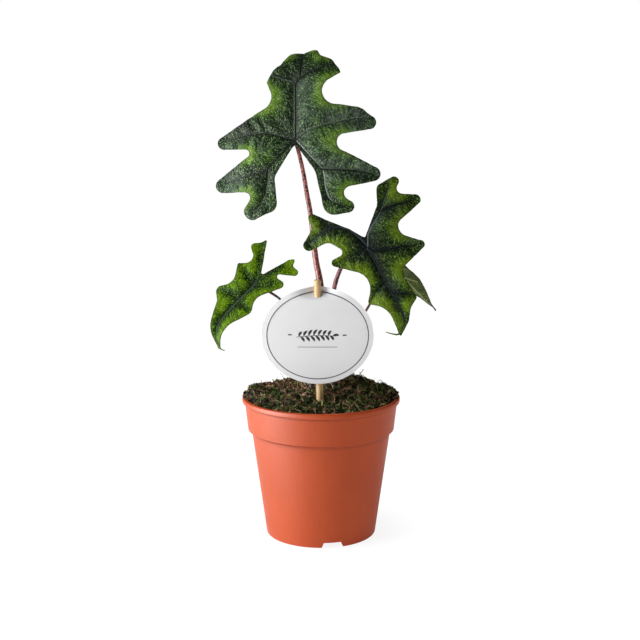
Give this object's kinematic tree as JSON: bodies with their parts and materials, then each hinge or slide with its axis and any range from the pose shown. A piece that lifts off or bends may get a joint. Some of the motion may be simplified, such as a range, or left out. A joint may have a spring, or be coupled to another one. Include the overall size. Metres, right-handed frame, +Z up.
{
  "type": "potted alocasia",
  "caption": "Young alocasia with lobed, dark-veined leaf blades on mottled stalks, growing in a round plastic nursery pot of peat, with a blank oval card on a bamboo stick.",
  "frame": {"origin": "on the ground under the pot's axis, which is near the middle of the plant's box", "axes": "+Z up along the pot's axis, -Y towards the viewer of the card, +X to that viewer's right"},
  "size_m": [0.169, 0.1213, 0.366],
  "materials": {
    "pot_plastic": "satin",
    "peat": "matte",
    "bamboo": "satin",
    "card": "satin",
    "petiole_rose": "satin",
    "petiole_dark": "satin",
    "leaf_dark": "satin",
    "leaf_bright": "satin"
  },
  "bodies": {
    "root": {"pot": "pot_plastic", "soil": "peat", "stake": "bamboo", "label": "card", "petiole_top": "petiole_rose", "petiole_left": "petiole_dark", "petiole_right": "petiole_rose", "petiole_back": "petiole_dark", "leaf_top": "leaf_dark", "leaf_left": "leaf_bright", "leaf_right": "leaf_bright", "leaf_back": "leaf_bright"}
  },
  "joints": []
}
